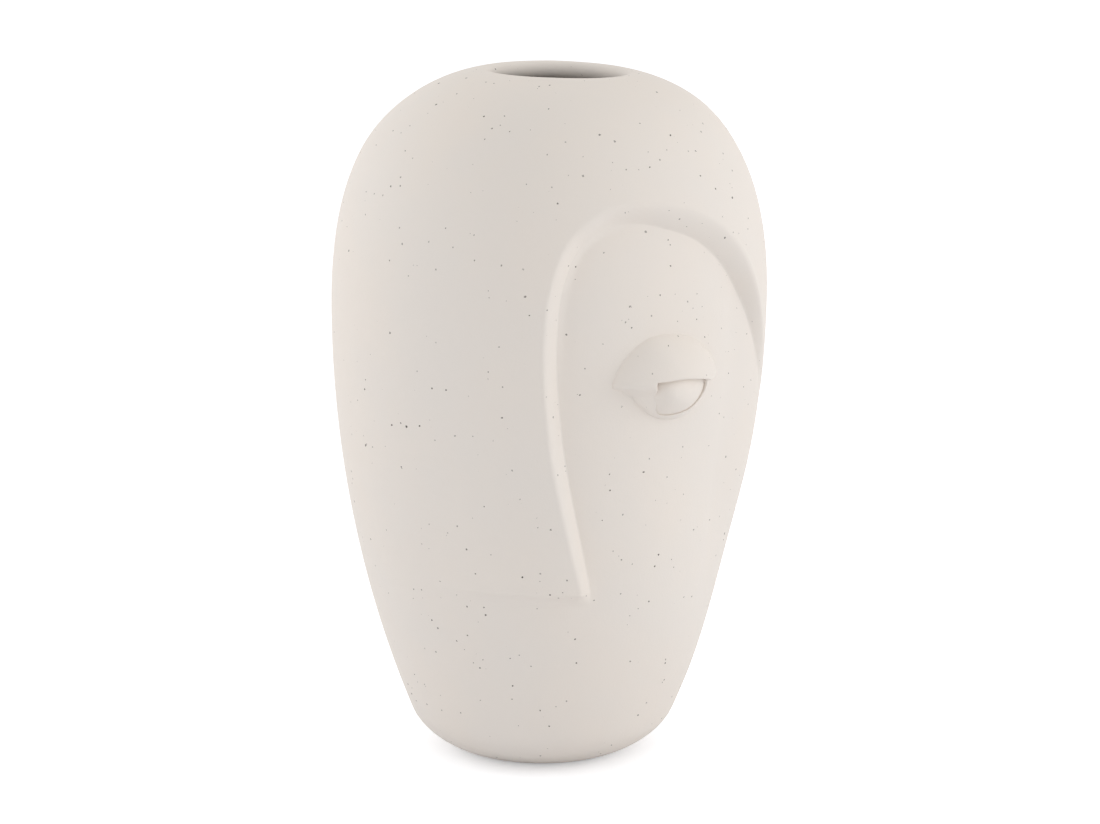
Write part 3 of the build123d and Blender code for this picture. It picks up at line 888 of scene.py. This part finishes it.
def studio_world(stage):
    """World that lights evenly, a little less from overhead, and that the camera, gloss and glass see white."""
    world = bpy.data.worlds.new("Studio")
    world.use_nodes = True
    tree = world.node_tree
    tree.nodes.clear()
    link = tree.links.new
    path = node(tree, "ShaderNodeLightPath", (0, 0))
    through = node(tree, "ShaderNodeMath", (0, 1), operation="MAXIMUM")
    link(path.outputs["Is Glossy Ray"], through.inputs[0])
    link(path.outputs["Is Transmission Ray"], through.inputs[1])
    seen = node(tree, "ShaderNodeMath", (1, 0), operation="MAXIMUM")
    link(path.outputs["Is Camera Ray"], seen.inputs[0])
    link(through.outputs[0], seen.inputs[1])
    toward = node(tree, "ShaderNodeTexCoord", (-2, 2))
    parts = node(tree, "ShaderNodeSeparateXYZ", (-1, 2))
    link(toward.outputs["Generated"], parts.inputs[0])
    overhead = node(tree, "ShaderNodeMapRange", (0, 2), To_Min=stage.sky, To_Max=stage.sky * stage.overhead)
    link(parts.outputs["Z"], overhead.inputs["Value"])
    even = node(tree, "ShaderNodeBackground", (1, 1), Color=WHITE)
    link(overhead.outputs["Result"], even.inputs["Strength"])
    white = node(tree, "ShaderNodeBackground", (1, 2), Color=WHITE, Strength=1.0)
    both = node(tree, "ShaderNodeMixShader", (2, 0))
    link(seen.outputs[0], both.inputs[0])
    link(even.outputs[0], both.inputs[1])
    link(white.outputs[0], both.inputs[2])
    out = node(tree, "ShaderNodeOutputWorld", (3, 0))
    link(both.outputs[0], out.inputs["Surface"])
    return world


def pale_floor(stage):
    """Matt floor that takes the vase's shadow, and glows for the camera alone."""
    mesh = bpy.data.meshes.new("floor")
    near, far = -FLOOR_REACH, FLOOR_REACH
    mesh.from_pydata([(near, near, 0), (far, near, 0), (far, far, 0), (near, far, 0)], [], [(0, 1, 2, 3)])
    floor = bpy.data.objects.new("floor", mesh)
    bpy.context.scene.collection.objects.link(floor)
    material = bpy.data.materials.new("Pale floor")
    material.use_nodes = True
    tree = material.node_tree
    shader = tree.nodes["Principled BSDF"]
    shader.inputs["Base Color"].default_value = (*stage.floor_colour, 1)
    shader.inputs["Roughness"].default_value = 1.0
    shader.inputs["Specular IOR Level"].default_value = 0.0
    shader.inputs["Emission Color"].default_value = WHITE
    path = node(tree, "ShaderNodeLightPath", (-3, 0))
    glow = node(tree, "ShaderNodeMath", (-2, 0), operation="MULTIPLY")
    glow.inputs[1].default_value = FLOOR_GLOW
    tree.links.new(path.outputs["Is Camera Ray"], glow.inputs[0])
    tree.links.new(glow.outputs[0], shader.inputs["Emission Strength"])
    mesh.materials.append(material)
    return floor


def front_camera(stage):
    """Camera in front of the vase and a little above its middle, tilted down to look at it."""
    data = bpy.data.cameras.new("camera")
    data.lens = stage.lens
    data.sensor_width = SENSOR_WIDTH
    data.shift_x = SIDE_SHIFT
    camera = bpy.data.objects.new("camera", data)
    reach, tilt = stage.camera_distance, stage.camera_elevation
    camera.location = (0.0, -reach * math.cos(tilt), MIDDLE[2] + reach * math.sin(tilt))
    camera.rotation_euler = (math.pi / 2 - tilt, 0.0, 0.0)
    bpy.context.scene.collection.objects.link(camera)
    return camera


class FACEVASE_OT_stage(bpy.types.Operator):
    """Makes the floor, the white surround, the lights and the camera"""

    bl_idname = "facevase.stage"
    bl_label = "Stage"

    def execute(self, context):
        scene = context.scene
        stage = scene.face_vase_stage
        scene.view_settings.view_transform = "Standard"
        scene.world = studio_world(stage)
        pale_floor(stage)
        add_light("right_soft", RIGHT_PLACE, RIGHT_SIZE, stage.right_light)
        add_light("left_soft", LEFT_PLACE, LEFT_SIZE, stage.left_light)
        scene.camera = front_camera(stage)
        return {"FINISHED"}


class FACEVASE_PT_panel(bpy.types.Panel):
    """Settings and makers of the face vase"""

    bl_idname = "FACEVASE_PT_panel"
    bl_label = "Face vase"
    bl_space_type = "VIEW_3D"
    bl_region_type = "UI"
    bl_category = "Face vase"

    def draw(self, context):
        scene = context.scene
        for settings, makers in (
            (scene.face_vase_relief, ("facevase.body", "facevase.eye")),
            (scene.face_vase_finish, ("facevase.felt",)),
            (scene.face_vase_stage, ("facevase.stage",)),
        ):
            box = self.layout.box()
            for key in settings.__annotations__:
                box.prop(settings, key)
            for maker in makers:
                box.operator(maker)


CLASSES = (
    FaceVaseRelief,
    FaceVaseFinish,
    FaceVaseStage,
    FACEVASE_OT_body,
    FACEVASE_OT_eye,
    FACEVASE_OT_felt,
    FACEVASE_OT_stage,
    FACEVASE_PT_panel,
)


def register():
    """Registers the classes and hangs their settings on the scene."""
    for kind in CLASSES:
        bpy.utils.register_class(kind)
    bpy.types.Scene.face_vase_relief = bpy.props.PointerProperty(type=FaceVaseRelief)
    bpy.types.Scene.face_vase_finish = bpy.props.PointerProperty(type=FaceVaseFinish)
    bpy.types.Scene.face_vase_stage = bpy.props.PointerProperty(type=FaceVaseStage)


def unregister():
    """Takes the settings and the classes away again."""
    del bpy.types.Scene.face_vase_relief
    del bpy.types.Scene.face_vase_finish
    del bpy.types.Scene.face_vase_stage
    for kind in reversed(CLASSES):
        bpy.utils.unregister_class(kind)


def main():
    register()
    bpy.ops.facevase.body()
    bpy.ops.facevase.eye()
    bpy.ops.facevase.felt()
    bpy.ops.facevase.stage()
    bpy.context.view_layer.update()


if __name__ == "__main__":
    main()
